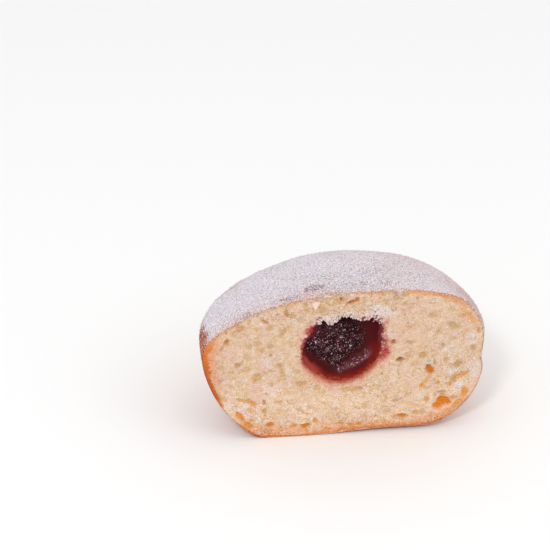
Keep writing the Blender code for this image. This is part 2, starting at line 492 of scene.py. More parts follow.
# The larger pores of the cut: middle (x, z), half width, half height, depth, how warm the dough shows
# inside, from 0 to 1, and a tilt in degrees where there is one.
PORES = (
    (-35.6, 34.3, 0.7, 1, 0.8, 0.42), (-36.9, 32.3, 0.4, 1, 0.4, 0.4, -30),
    (-33.4, 37, 1.5, 0.9, 0.2, 0.25, 30), (-26.5, 33.5, 1.1, 0.8, 0.3, 0.3),
    (-22.6, 32.2, 0.9, 0.8, 0.4, 0.35), (-24.9, 31, 0.8, 0.8, 0.3, 0.3), (-22.6, 29.3, 0.5, 0.5, 0.5, 0.4),
    (-32.3, 26.3, 1, 0.9, 0.6, 0.38, 15), (-29.8, 24.5, 1.5, 1, 0.3, 0.2),
    (-27.3, 20.3, 0.5, 0.5, 0.6, 0.42), (-26.7, 21.6, 1.4, 1.6, 0.4, 0.34, 10),
    (-19.9, 25.6, 1, 0.6, 0.5, 0.35, -25), (-19.2, 22.6, 0.7, 2, 0.3, 0.3, 5), (-15, 23, 1.4, 1, 0.2, 0.22),
    (-22.3, 18.8, 0.5, 1.2, 0.3, 0.25, 5), (-19, 36.6, 0.7, 1.8, 0.4, 0.35, -35),
    (-17.8, 43.2, 0.5, 1.4, 0.6, 0.45, 15), (-24.4, 40.9, 1.2, 0.5, 0.5, 0.42, -30),
    (-32.5, 38, 0.9, 0.6, 0.3, 0.3, 20), (-28.3, 12.7, 1.9, 1, 0.6, 0.5, -48),
    (-31.4, 13.9, 1.9, 0.6, 0.4, 0.42, -20), (-24.5, 12.8, 0.4, 0.9, 0.7, 0.45),
    (-19.8, 12.5, 0.9, 0.7, 0.3, 0.35), (-31.8, 8, 2.1, 0.9, 0.6, 0.7, -55),
    (-29.2, 4.6, 1.6, 0.9, 0.5, 0.72, -35), (-28.4, 6.4, 0.7, 0.5, 0.4, 0.6),
    (-22.9, 4.4, 1.2, 0.9, 0.6, 0.82, 5), (-24.6, 9.6, 0.8, 0.8, 0.4, 0.5),
    (-13.6, 18.8, 1.8, 1, 0.3, 0.4, 8), (-11.9, 3.6, 1.5, 0.8, 0.8, 0.82, 12),
    (-9.2, 5.3, 0.8, 0.9, 0.3, 0.7, 10), (-15.6, 3.6, 1, 0.7, 0.3, 0.6, 25), (-8.7, 16.7, 1, 0.9, 0.3, 0.3),
    (1.6, 15.7, 3.4, 0.9, 0.4, 0.34, -3), (4.1, 15.7, 1, 0.7, 0.5, 0.45), (1.2, 46, 1.5, 0.55, 0.9, 0.6, 12),
    (2.8, 46.6, 1.2, 0.5, 0.8, 0.6, 45), (-1.8, 47, 0.6, 0.5, 0.9, 0.48),
    (14, 31.5, 0.6, 0.8, 1.1, 0.45, 20), (19, 31.3, 1.3, 0.7, 0.3, 0.35),
    (15.8, 25.3, 1.1, 0.7, 0.9, 0.55, 20), (23, 26.4, 1.2, 1.1, 0.4, 0.4, 20),
    (25.5, 20.8, 1.2, 1.5, 0.9, 0.8), (24.9, 21.6, 1, 1.5, 0.9, 0.78),
    (33.7, 22.6, 0.9, 1.3, 0.4, 0.45, -10), (23.1, 15.6, 0.9, 0.8, 0.5, 0.55),
    (24.2, 17.5, 0.6, 1.2, 0.3, 0.4, -15), (28, 16.5, 0.5, 0.9, 0.4, 0.5), (29, 13, 1.3, 0.5, 0.5, 0.5, 5),
    (24.7, 10.8, 0.9, 0.9, 0.3, 0.5), (30, 10.2, 1.6, 1.2, 0.8, 0.88, -15), (29.3, 9.3, 1.7, 1.6, 0.8, 0.95),
    (28.1, 8.3, 1.6, 1.4, 0.8, 1, 35), (31.3, 9.1, 0.8, 0.8, 0.5, 0.85), (32.7, 10.8, 1, 0.8, 0.4, 0.45),
    (28.8, 10.9, 0.9, 0.8, 0.4, 0.85, 40), (31.4, 16, 1, 0.9, 0.2, 0.45, 45),
    (32.8, 17.8, 1.3, 1.2, 0.3, 0.52, 30), (35, 18.9, 1.5, 0.9, 0.2, 0.46, 25),
    (36.4, 19.6, 0.9, 0.5, 0.2, 0.5, 30), (26.5, 24, 0.3, 1.1, 0.3, 0.4),
    (28.9, 29.4, 0.5, 1, 0.4, 0.36, 15), (29.4, 12.2, 0.9, 0.4, 0.3, 0.45),
    (17.2, 5.3, 1.5, 0.75, 0.7, 0.78, -8), (15.3, 5.5, 1.2, 0.5, 0.3, 0.55, 10),
    (21.3, 6.2, 1, 0.6, 0.2, 0.45), (36, 12.6, 1, 2.1, 0.4, 0.68, -12), (33.9, 8.4, 2.1, 0.9, 0.3, 0.68, 52),
    (37.8, 28.2, 1, 1.1, 0.3, 0.4), (39.4, 34, 0.5, 1, 0.3, 0.42), (31.6, 36.4, 2.2, 0.9, 0.3, 0.35, -35),
    (-1, 1.6, 1.1, 0.8, 0.4, 0.72), (1.5, 2.9, 0.9, 0.45, 0.4, 0.66, -20), (4, 3.1, 0.9, 0.7, 0.5, 0.76),
    (-1.6, 3.8, 1.2, 0.35, 0.3, 0.6, -8), (-5.2, 2, 1.3, 0.4, 0.3, 0.66), (11.6, 3.1, 0.6, 0.3, 0.3, 0.7),
    (8.8, 5.6, 0.9, 0.35, 0.2, 0.5),
)  # fmt: skip
# Fine pores scattered over the cut: how many, the range of their half widths, and their depth for each
# millimetre of half width.
FINE_PORES = ((80, (0.5, 1.1), 0.25), (200, (0.3, 0.5), 0.4), (420, (0.15, 0.25), 0.8))
FROM_POCKET = 0.8  # how far outside the pocket's edge they begin
FROM_SKIN = 0.7  # and how far inside the skin they end
CRUMB_SEED = 11

# Soft patches of colour: middle (x, z), half width, half height, strength, and a tilt in degrees where
# there is one.
WHITE_PATCHES = (
    (25, 24, 1.4, 1, 0.8), (32.5, 20.8, 2.2, 1, 0.6, 20), (36, 20.6, 1.6, 1, 0.6, 30),
    (34.4, 15.6, 1.5, 1.1, 0.9, 25), (-30.2, 12.2, 1.3, 0.9, 0.8, -40), (-31.8, 10.6, 1.4, 0.8, 0.6, -25),
    (-35.2, 12.4, 1.4, 1, 0.6), (4, 8, 2.6, 0.4, 0.6), (7.5, 43.8, 1.9, 1, 0.9, 5), (11, 43.4, 2, 0.9, 0.7),
    (38, 32.5, 1, 1.4, 0.7), (-23.5, 27, 2.4, 1.4, 0.5, 15), (-22.5, 17.2, 2, 1.2, 0.5, 15),
    (-16.6, 22.8, 0.8, 0.8, 0.8), (-14.5, 41, 2.2, 1.6, 0.5, 10), (-5, 40.9, 3, 1, 0.9, 8),
    (0.5, 41.9, 1.8, 0.8, 0.8), (9.6, 41.6, 2.2, 1, 1, -5), (12.9, 34.5, 0.8, 2.2, 0.7),
    (13, 41.6, 1.6, 1.2, 0.6), (31, 28.5, 2.6, 1.6, 0.4, -20), (38.8, 20.5, 1.3, 2.6, 0.7),
    (37, 29.5, 1.2, 1.4, 0.5), (22, 12.5, 2.4, 0.8, 0.5, 25), (15.5, 46.6, 3, 1.1, 0.6),
)  # fmt: skip
PINK_PATCHES = (
    (-39.3, 29, 1.4, 2, 0.7), (-38.3, 25.3, 1, 1, 0.8), (-36.5, 22.5, 1.4, 2, 0.5, -15),
    (-33.5, 30, 3.5, 3, 0.35), (-27, 29.5, 3, 1.6, 0.3), (-29.5, 8.6, 1, 0.8, 0.5), (-22.8, 5.6, 2, 1, 0.5),
    (17, 34, 4, 6, 0.35), (27, 38.5, 6, 3, 0.35, -10), (20.5, 44, 2.5, 1.2, 0.3),
    (29.2, 11.6, 1.2, 0.7, 0.5), (38.6, 15.5, 1.3, 2, 0.7, -30), (35.5, 38.5, 2, 1.2, 0.4, -40),
    (12, 39, 0.9, 1.3, 1), (20, 3, 8, 1, 0.5), (10.8, 21, 0.6, 0.6, 0.7),
)  # fmt: skip
YELLOW_PATCHES = (
    (4.5, 46.5, 4, 1, 0.5), (36, 39.3, 3.2, 0.9, 0.9, -47), (38.2, 37, 1.1, 0.8, 0.9, -40),
    (27.5, 35, 0.8, 1.6, 0.6), (29.5, 28.5, 1, 1.6, 0.5, 10), (12.5, 5.4, 3, 0.8, 0.4),
    (-20.5, 8, 3, 1, 0.35, 20), (-36.5, 35.3, 3, 1.4, 0.6, 40),
)  # fmt: skip
ORANGE_PATCHES = (
    (37, 10.9, 0.8, 0.8, 0.4), (31.2, 6.6, 2, 0.7, 0.5, 30), (31.5, 8, 4, 2.4, 0.3, 45),
    (26, 5, 3.5, 1, 0.35, 10), (-32.8, 9.3, 0.8, 0.5, 0.7, -20), (-30.2, 6, 1.2, 1, 0.5, -50),
    (-25.8, 3.6, 1.6, 0.8, 0.5, -20), (-18.5, 2.6, 3, 0.7, 0.4), (-5, 3.6, 2.2, 0.6, 0.4),
    (2, 3.2, 2.2, 0.7, 0.4), (8.5, 3.3, 2, 0.7, 0.4), (34.2, 42.2, 1.8, 0.7, 0.4, -45),
    (36.2, 39.7, 2.3, 0.8, 0.65, -52), (38, 37.8, 1.2, 0.8, 0.4, -40),
)  # fmt: skip
PATCHES = (
    (PINK_PATCHES, PINK_CRUMB),
    (YELLOW_PATCHES, YELLOW_CRUMB),
    (WHITE_PATCHES, COOL_CRUMB),
    (ORANGE_PATCHES, ORANGE_CRUMB),
)
# Where the crumb is open and shows the most grain, in the form of the patches.
OPEN_PLACES = (
    (32, 20, 6.5, 12, 1, -10), (-27, 8, 10, 7, 0.9, -35), (0, 5, 30, 6, 0.8), (2, 43, 12, 4, 1),
    (-18, 42, 6, 3, 0.7, 15), (8, 14, 16, 7, 0.6, 10),
)  # fmt: skip
# Thin cracks, each a line through (x, z) corners. They are sunk a little and painted dark, as shade in them.
CRACKS = (
    ((-15.2, 10), (-13.8, 9.2), (-12.5, 8.2)), ((-18, 13), (-15.5, 11.4)),
    ((16.2, 25.3), (17.6, 25.4), (18.6, 25.3)), ((-38, 20.2), (-36.2, 21.8)), ((-31.2, 28.2), (-31, 26.6)),
    ((14, 10.8), (17.5, 11.8), (19.5, 13.6)), ((26.8, 36), (27.3, 34.8), (27, 33.2)),
    ((15.2, 22), (16, 20.4)),
)  # fmt: skip
# Small dark dots: (x, z).
DARK_DOTS = (
    (12.4, 11.9), (9.7, 12.9), (10.5, 23.2), (10.8, 20.9), (6.8, 16.3), (-24.1, 15.6), (-37, 27.5),
    (-32.8, 9.5), (-2.6, 42.2), (2.6, 41.4), (4.6, 42), (-6.6, 42), (8.1, 42.4), (13.2, 43.4), (28.9, 45),
    (32.3, 45.2), (30.2, 45.9), (-9, 43.2), (-15, 28.4), (-14.6, 26), (14, 31.4), (16.4, 24.6), (7.4, 14),
)  # fmt: skip

# The pocket's ragged edge at the cut: (x, z), and how far the jelly's stain reaches into the crumb.
POCKET_EDGE = (
    (10.1, 31, 2.1), (9.9, 34, 1.9), (10.2, 36, 1.5), (10, 37.6, 1.2), (9.6, 39, 0.7), (8.7, 39.9, 0.5),
    (8.1, 38.9, 0.4), (7.4, 40.2, 0.4), (6.4, 39.4, 0.4), (5, 39.4, 0.3), (2.6, 39.7, 0.3), (0.9, 40.4, 0.3),
    (-0.8, 40.8, 0.3), (-2.2, 40.1, 0.3), (-3, 39.6, 0.3), (-4, 39.1, 0.3), (-5, 38.5, 0.3), (-6, 38.7, 0.3),
    (-6.9, 39.8, 0.3), (-7.7, 40.3, 0.3), (-8.5, 39.2, 0.8), (-9.4, 37.6, 1.4), (-10.3, 35.6, 2),
    (-11.6, 34, 1.8), (-12.5, 32.6, 1.2), (-13.1, 30.6, 0.9), (-13.2, 28.5, 0.8), (-12.7, 26, 0.9),
    (-11.4, 24.3, 1.3), (-9.8, 22.7, 1.5), (-7.9, 21.3, 1.7), (-5.8, 20, 1.6), (-3, 19.3, 1.6),
    (0, 19.4, 1.5), (2.8, 20.1, 1.5), (5.4, 21.7, 1.5), (7.2, 23.5, 1.6), (8.6, 25.6, 1.8), (9.8, 28, 2.1),
)  # fmt: skip
# Where the stain is strongest, in the form of the patches.
RED_BLOTCHES = (
    (-10.2, 36.8, 1.1, 1.1, 1.1), (-9.4, 38, 0.9, 0.6, 1, 40), (-11.6, 37.4, 1, 0.4, 0.8, 10),
    (-11.3, 35.4, 0.6, 0.5, 0.7), (-12.6, 33.4, 0.5, 0.6, 0.6), (-13.4, 31.8, 0.5, 0.9, 0.5),
    (11.5, 29.2, 1.1, 1.1, 1), (12.2, 28.2, 0.9, 0.6, 0.9, 30), (11.2, 27.2, 1, 0.9, 0.8),
    (11.5, 31.6, 0.6, 1, 0.6), (12.2, 39, 0.7, 1.1, 0.5), (6.9, 40.8, 0.3, 0.8, 0.5, 15),
    (8.7, 40.4, 0.3, 0.4, 0.5),
)  # fmt: skip
# How long the torn teeth at the pocket's roof are, the radius at which their noise is read, and how far
# the pocket's edge lies behind the cut.
ROOF_TEETH = 0.9
TEETH_RADIUS = 12.0
LIP = 0.2
# The rings of the pocket's wall, in millimetres behind the cut, and those of the body under the skin, in
# degrees tipped back from it.
POCKET_STEPS = (0.25, 0.6, 1.1, 1.8, 3.0, 5.0, 8.0, 12.0, 15.5, 18.0)
POCKET_GAP = 0.3
POCKET_DEPTH = JELLY_DEPTH + POCKET_GAP
BODY_TIPS = (0.4, 1.4, 5.0, 13.0, 24.0, 36.0, 50.0, 64.0, 78.0)
BODY_INSET = 0.7

# The browned rind round the cut: (x, z) on its outline, thickness, strength, and how brown, from 0 for gold
# to 1 for brown.
RIND = (
    (41.5, 30, 0.6, 0.15, 0.2), (41.3, 34, 0.7, 0.3, 0.2), (40, 38, 1, 0.5, 0.3), (38, 40.6, 1.8, 0.6, 0.25),
    (35, 43.2, 2.6, 0.75, 0.15), (32, 45, 1.7, 0.85, 0.3), (29, 46, 1.8, 0.95, 0.4),
    (25, 47.1, 2, 0.9, 0.15), (20, 48.2, 1.6, 0.9, 0.2), (17.6, 48.6, 1.1, 0.9, 0.3),
    (16.8, 48.7, 0.3, 0.2, 0.3), (14.6, 48.8, 0.3, 0.2, 0.3), (14, 48.8, 0.8, 0.7, 0.3),
    (10, 48.8, 0.9, 0.85, 0.3), (5, 48.8, 1, 1, 0.25), (2, 48.7, 0.7, 0.7, 0.2), (0, 48.5, 0.4, 0.4, 0.2),
    (-5, 48, 0.3, 0.2, 0.4), (-9, 47.5, 0.3, 0.2, 0.4), (-12, 47, 0.6, 0.6, 0.15), (-16, 46.4, 1, 0.85, 0.3),
    (-20, 45.7, 1, 0.8, 0.2), (-25, 44, 0.4, 0.3, 0.2), (-29, 42, 0.6, 0.4, 0.2), (-31, 40.8, 1, 0.9, 0.15),
    (-35.5, 38, 1, 0.7, 0.05), (-38, 36.3, 1.2, 0.9, 0.3), (-40.2, 34.2, 2.4, 0.95, 0.4),
    (-41.4, 31.6, 2.7, 1, 0.5), (-41.8, 29.5, 2.2, 1, 0.6), (-41.6, 25, 2, 1, 0.7),
    (-40.3, 19.6, 1.9, 1, 0.8), (-38.7, 15.5, 1.7, 1, 0.7), (-37.2, 12.7, 1.1, 1, 0.5),
    (-36.2, 11.3, 0.3, 0.15, 0.3), (-34, 8, 0.3, 0.2, 0.3), (-32.7, 6.6, 0.5, 0.7, 0.4),
    (-30, 3.5, 0.9, 1, 0.5), (-27, 1.7, 1, 1, 0.7), (-22, 0.1, 1, 0.85, 0.6), (-10, 0, 1.1, 0.9, 0.35),
    (0, 0, 1.5, 0.95, 0.4), (10, 0, 1.6, 0.95, 0.4), (20, 0.1, 1.6, 0.95, 0.4), (28, 1.5, 1.4, 0.95, 0.45),
    (33, 5, 1.2, 0.9, 0.15), (35.5, 8, 1.2, 0.9, 0.15), (37, 10.3, 0.8, 0.8, 0.2),
    (38.5, 12.5, 0.5, 0.5, 0.3), (40, 15.5, 0.5, 0.4, 0.2), (41.2, 19.5, 0.4, 0.2, 0.2),
    (41.2, 25, 0.3, 0.1, 0.2),
)  # fmt: skip


def round_table(angles, column, table=POCKET_EDGE):
    """A column of a table of (x, z, ...) rows, read off at any angle about HUB. Column 0 is their reach."""
    rows = np.array(table)
    across, up = rows[:, 0] - JELLY_X, rows[:, 1] - JELLY_Z
    values = np.hypot(across, up) if column == 0 else rows[:, column]
    return np.interp(angles, np.arctan2(up, across), values, period=TAU)


def pocket_edge(angles):
    """The jelly's ragged edge in the crumb: torn at the roof, and smoother down its sides."""
    ring = HUB + TEETH_RADIUS * in_plane(angles)
    roof = smooth(np.sin(angles), 0.4, 0.8)
    teeth = (fractal(ring, 1.2, 2) + 0.7 * fractal(ring, 0.5, 2, 9)) * ROOF_TEETH * roof
    waves = fractal(ring, 1.1, 3, 3) * 0.3 * smooth(np.sin(angles), -0.7, 0.3)
    return round_table(angles, 0) + teeth + waves


def edge_reach(angle):
    """From HUB to the pocket's edge at one angle."""
    return float(round_table(np.array(angle), 0))


def scattered_pores(random):
    """Pores of every size over the cut, as rows like those of PORES."""
    for count, (small, large), depth_share in FINE_PORES:
        for _ in range(count):
            angle = random.uniform(0, TAU)
            inner = edge_reach(angle) + FROM_POCKET
            outer = float(reach_skin(HUB, in_plane(np.array([angle])))[0]) - FROM_SKIN
            reach = math.sqrt(random.uniform(inner**2, outer**2))
            x, z = JELLY_X + reach * math.cos(angle), JELLY_Z + reach * math.sin(angle)
            half = random.uniform(small, large)
            longer = random.uniform(1, 1.7)
            warmth = random.uniform(0.08, 0.3)
            warmth += 0.35 * math.exp(-(outer - reach) / 2.5) * random.uniform(0, 1)
            yield x, z, half * longer, half, half * depth_share, warmth, random.normal(0, 40)


def dig_pores(points, pores):
    """(depth, how fully a pore fills the place, warmth inside) at each point of the cut."""
    depth, filled, warmth = np.zeros((3, *points.shape[:-1]))
    for x, z, wide, tall, deep, warm, *tilt in pores:
        size = 1.4 * max(wide, tall)
        near = (np.abs(points[..., 0] - x) < size) & (np.abs(points[..., 2] - z) < size)
        bowl = smooth(1.35 - np.hypot(*about(points[near], x, z, wide, tall, *tilt)), 0, 0.75)
        weight = bowl * min(1, 2.5 * warm)
        depth[near] = np.maximum(depth[near], deep * bowl)
        warmth[near] = np.where(weight > filled[near], warm, warmth[near])
        filled[near] = np.maximum(filled[near], weight)
    return depth, filled, warmth


def patches(colours, points, table, colour):
    """Soft patches of a colour laid over others."""
    for x, z, wide, tall, strength, *tilt in table:
        colours = lay(colours, (strength * spot(points, x, z, wide, tall, *tilt), colour))
    return colours


def crumb_colours(face, bent, depth, filled, warmth, under, airy):
    """The crumb itself: softly mottled, streaked by the knife, warmer in its pores, and painted darker in
    deep pores, in cracks and towards the top, as shade.
    """
    x, _, z = xyz(face)
    broad = fractal(face, 8, 2, 23)
    hue = fractal(face * (1, 1, 1.15), 3.6, 3, 55)
    mottled = fractal(face * (1, 1, 1.25), 1.7, 2, 27)
    streaks = fractal(face * (1, 1, 3.5), 3, 2, 31)
    # The knife's streaks show most below the pocket, and above it at the right.
    streaky = 0.1 + 0.7 * smooth(z, 18, 9) * bell(x - 2, 22)
    streaky += 0.6 * smooth(z, 38, 43) * smooth(x, -2, 8)
    colours = lay(
        PALE_CRUMB,
        (0.25 + 0.6 * broad, TAN_CRUMB),
        (0.7 * smooth(hue, 0, 0.5), YELLOW_CRUMB),
        (0.75 * smooth(-hue, 0, 0.5), PINK_CRUMB),
        (0.45 * smooth(mottled, 0, 0.6), TAN_CRUMB),
        (0.5 * smooth(-mottled, 0.05, 0.6), WHITE_CRUMB),
        (0.45 * streaky * smooth(streaks, 0.1, 0.6), TAN_CRUMB),
        (0.45 * streaky * smooth(-streaks, 0.1, 0.6), WHITE_CRUMB),
    )
    for table, colour in PATCHES:
        colours = patches(colours, bent, table, colour)
    freckles = smooth(fractal(bent, 0.45, 2, 44), 0.3, 0.5) * (0.25 + 0.75 * airy)
    colours = lay(base_band(colours, face, under), (0.4 * freckles, FRECKLE))
    shade = fractal(bent, 1.1, 2, 57)
    warmer = warmth + 0.12 * shade
    gold, orange = smooth(warmer, 0.35, 0.65), smooth(warmer, 0.65, 0.9)
    inside = lay(PORE_TAN, (gold, PORE_GOLD), (orange, PORE_ORANGE))
    inside *= 1 + 0.2 * shade[..., None]
    # Painted shade: deep pores that are not orange are darker inside.
    inside *= 1 - 0.4 * (smooth(depth, 0.55, 1) * smooth(0.84 - warmth, 0, 0.1))[..., None]
    colours = lay(colours, (filled * (0.95 + 0.3 * shade * smooth(0.7 - warmth, 0, 0.3)), inside))
    # Painted shade: the sunk cracks are painted dark.
    for crack in CRACKS:
        colours = lay(colours, (0.7 * bell(off_path(bent, crack), 0.18), CRACK))
    for dot in DARK_DOTS:
        colours = lay(colours, (0.9 * spot(bent, *dot, 0.25), CRACK))
    # Painted shade: the crumb is darker towards the top.
    return colours * (1 - 0.08 * smooth(z, 10, 24)[..., None])


def base_band(colours, face, under):
    """The crumb just above the base, streaked with orange and pink."""
    streaked = face * (1, 1, 2)
    glow = bell(under, 3) * smooth(face[..., 2], 8, 3.5)
    return lay(
        colours,
        (glow * (0.4 + 0.8 * fractal(streaked, 2.2, 3, 39)), RIND_GOLD),
        (glow * smooth(fractal(streaked, 1.8, 3, 34), 0, 0.4), ORANGE_CRUMB),
        (0.6 * glow * smooth(fractal(streaked, 1.5, 3, 36), 0, 0.4), RIND_PINK),
    )


def base_dots(colours, face, under):
    """Dark dots just above the base, most of them near both its ends."""
    x, _, z = xyz(face)
    dotted = np.clip(0.25 + bell(x + 23, 5) + bell(x - 27.5, 5), 0, 1)
    dotted = dotted * bell(under, 3.2) * smooth(z, 8, 4)
    return lay(colours, (dotted * smooth(fractal(face, 0.5, 2, 35), 0.12, 0.35), RIND_BROWN))


def browned(brown, outwards):
    """The rind's colour: golden inside, and towards the skin as brown as it is told."""
    orange, brown = outwards * smooth(brown, 0, 0.6), outwards * smooth(brown, 0.4, 1)
    return lay(RIND_GOLD, (orange, RIND_ORANGE), (brown, RIND_BROWN))


def brown_rind(colours, face, under, angles):
    """The fried rind round the cut: darkest at the skin, golden inside, broken up at the bottom."""
    x, _, z = xyz(face)
    thickness, strength, brown = (round_table(angles, column, RIND) for column in (2, 3, 4))
    rough = 1 + 0.3 * fractal(face, 2.4, 3, 17) + 0.3 * fractal(face, 0.8, 2, 19)
    share = under / np.maximum(thickness * rough, 0.12)
    low = smooth(z, 12, 4)
    speckled = smooth(fractal(face, 0.9, 3, 37), 0.05, 0.5)
    # Inside the rind's left end the crumb is flushed.
    blushing = smooth(-x, 34, 38) * smooth(z, 16, 23) * (1 - smooth(z, 33, 36))
    blushing *= smooth(5.4 - under + fractal(face, 1.6, 2, 15), 0, 2.6)
    rind = lay(
        browned(brown, smooth(1 - share, 0.05, 0.5)),
        (low * brown * speckled * 0.8, RIND_BROWN),
        (0.4 * smooth(-fractal(face, 0.8, 3, 38), 0.05, 0.5) * low, RIND_PINK),
    )
    return lay(colours, (0.75 * blushing, BLUSH), (strength * smooth(1.4 - share, 0, 0.9), rind))


def stain(colours, face, past_edge, angles):
    """The crumb round the pocket, which the jelly has dyed."""
    torn = smooth(np.sin(angles), 0.6, 0.85)
    wild = smooth(np.sin(angles), -0.45, 0.1)
    share = past_edge / (round_table(angles, 2) * (1 + 0.35 * fractal(face, 1.9, 3, 41)))
    blotch = (0.3 + 0.7 * wild) * (0.7 * fractal(face, 1.1, 3, 43) + 0.7 * fractal(face, 0.5, 2, 46))
    loose = 0.7 + 0.6 * fractal(face * (1, 1, 0.5), 0.8, 3, 48)
    edge = lay(STAIN_EDGE, (wild, STAIN_PLUM))
    soaked = smooth(0.55 - share + 0.4 * blotch, 0, 0.5) * (1 - torn)
    colours = lay(
        colours,
        (torn * bell(past_edge, 2) * loose, TORN_CRUMB),
        (smooth(2.4 - share + 0.9 * blotch, 0, 2.2) * (1 - 0.5 * torn), STAIN_PINK),
        (smooth(1.3 - share + 0.8 * blotch, 0, 1.3) * (1 - 0.4 * torn), edge),
        (0.8 * smooth(-blotch, 0.15, 0.6) * bell(share - 0.8, 0.7) * wild, TORN_CRUMB),
        (0.7 * soaked * wild, STAIN_DARK),
    )
    return patches(colours, face, RED_BLOTCHES, STAIN_RED)


def at_roof(angles):
    """1 at the pocket's roof and 0 at its sides and floor."""
    return smooth(np.sin(angles), 0.3, 0.8)


def lip_depth(angles):
    """How far behind the cut the pocket's edge lies."""
    return LIP * (0.3 + 2.4 * at_roof(angles))


def tunnel(angles, grow, depth, steps, start, mouth=None):
    """Rings of the jelly's section, grown, that narrow towards depth. The first ones may follow a mouth."""
    rings = []
    for step in steps:
        radius = jelly_radius(angles, grow)
        if mouth is not None:
            blend = math.exp(-step / 1.5)
            radius = radius * (1 - blend) + mouth * blend
        narrowing = (1 - (step / depth) ** DEPTH_FULLNESS) ** (1 / DEPTH_FULLNESS)
        ring = HUB + in_plane(angles) * (radius * narrowing)[:, None]
        ring[:, 1] += step + start
        rings.append(ring)
    return np.array(rings)


def crumb_face(angles, inner, outer):
    """The cut's points from the pocket to the skin, dug out by pores, with their colours and openness."""
    past_edge = (outer - inner) * np.linspace(0, 1, CRUMB_FACE_RINGS)[:, None] ** CRUMB_CROWDING
    face = HUB + in_plane(angles) * (inner + past_edge)[..., None]
    seen = settle(face)
    bend = [0.5 * fractal(face, 1.5, 2, at) + 0.25 * fractal(face, 0.6, 2, at + 5) for at in (50, 80)]
    bent = seen + np.stack([bend[0], 0 * bend[0], bend[1]], axis=-1)
    pores = [*PORES, *scattered_pores(np.random.default_rng(CRUMB_SEED))]
    depth, filled, warmth = dig_pores(seen + 0.7 * (bent - seen), pores)
    under = below_skin(face)
    airy = 0.25 + 0.3 * fractal(face, 5, 2, 87)
    for x, z, wide, tall, strength, *tilt in OPEN_PLACES:
        airy = np.maximum(airy, strength * spot(seen, x, z, wide, tall, *tilt))
    airy = np.clip(airy, 0, 1) * (1 - filled * smooth(warmth, 0.45, 0.7))
    colours = crumb_colours(seen, bent, depth, filled, warmth, under, airy)
    colours = base_dots(brown_rind(colours, seen, under, angles), seen, under)
    colours = stain(colours, bent, past_edge, angles)

    loose = 0.5 + 0.8 * fractal(face, 6, 2, 83)
    foam = smooth(cells(bent, 1.5), 0.05, 0.6) * np.clip(loose, 0.1, 1)
    relief = depth + 0.12 * foam + 0.1 * fractal(face, 1, 3) + 0.3 * fractal(face, 9, 2, 5)
    for crack in CRACKS:
        relief += 0.15 * bell(off_path(bent, crack), 0.25)
    lip = lip_depth(angles) * np.exp(-past_edge / 0.6)
    keep_rim = 0.25 + 0.75 * smooth(under, 0, 0.6)
    face[..., 1] += relief * keep_rim + lip + 0.12 * (1 - smooth(under, 0, 0.5))
    return face, colours, airy


def make_crumb():
    angles = even_angles(HUB, CRUMB_AROUND)
    inner = pocket_edge(angles)
    face, colours, airy = crumb_face(angles, inner, reach_skin(HUB, in_plane(angles)))
    wall = tunnel(angles, POCKET_GAP, POCKET_DEPTH, POCKET_STEPS[::-1], lip_depth(angles), inner)
    wall_colours = lay(plain(wall.shape[:2], STAIN_RED), (0.6 * at_roof(angles), STAIN_PINK))
    body = skin_rings(angles, BODY_TIPS, BODY_INSET)
    crumb = loft(
        "crumb",
        np.concatenate([wall, face, body]),
        HUB + (0, POCKET_DEPTH + LIP, 0),
        skin_back(BODY_INSET),
        np.concatenate([wall_colours, colours, plain(body.shape[:2], PALE_CRUMB)]),
        {"airy": np.concatenate([np.zeros(wall.shape[:2]), airy, np.zeros(body.shape[:2])])},
    )
    crumb.data.materials.append(crumb_material("crumb"))
    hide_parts("dough")


# Torn crumb: how many bits, where round the pocket (degrees), how far outside its edge, how far behind
# the cut, and how red.
TORN_BITS = (
    (150, (104, 132), (-0.7, 0.4), (-0.1, 0.9), 0.05),
    (120, (40, 66), (-0.5, 1.2), (-0.1, 0.9), 0.2),
    (110, (66, 104), (-0.3, 0.5), (-0.1, 1.0), 0.05),
)
TORN_SEED = 3
LARGEST_TOOTH = 0.32
LOOSE_CRUMBS = 160
SMALLEST_CRUMB = 0.1
LARGEST_CRUMB = 0.25
# Flakes that hang over the cut's upper edge: (x, z), half width, half height.
FLAKES = ((-9.4, 44.6, 1.7, 1.5), (1.2, 47.9, 0.8, 0.45), (15.6, 48.4, 1.1, 0.45), (-5.6, 47.6, 1.8, 0.35))


def unit_ball(fineness):
    """The points and faces of a ball of radius 1."""
    body = bmesh.new()
    bmesh.ops.create_icosphere(body, subdivisions=fineness, radius=1)
    points = np.array([vertex.co[:] for vertex in body.verts])
    faces = np.array([[vertex.index for vertex in face.verts] for face in body.faces])
    body.free()
    return points, faces


def rough_ball(random, ball, largest, rough):
    """A lump of crumb of any size up to the largest."""
    size = random.uniform(SMALLEST_CRUMB, largest)
    return ball * (1 + rough * fractal(ball + random.uniform(0, 50), 0.8, 2)[:, None]) * size


def torn_bits(random, ball):
    """Teeth of crumb round the pocket: (points, colour) of each."""
    for count, (start, end), (near, far), (front, back), red in TORN_BITS:
        for _ in range(count):
            angle = math.radians(random.uniform(start, end))
            reach = edge_reach(angle) + random.uniform(near, far)
            outward = in_plane(np.array(angle))
            shape = rough_ball(random, ball, LARGEST_TOOTH, 0.25)
            shape = shape + outward * (shape @ outward)[:, None] * random.uniform(0, 1.2)
            place = HUB + outward * reach + (0, random.uniform(front, back), 0)
            dyed = random.uniform(0, 1) < red
            yield shape + place, (STAIN_PLUM if dyed else TORN_CRUMB) * random.uniform(0.7, 1.05)


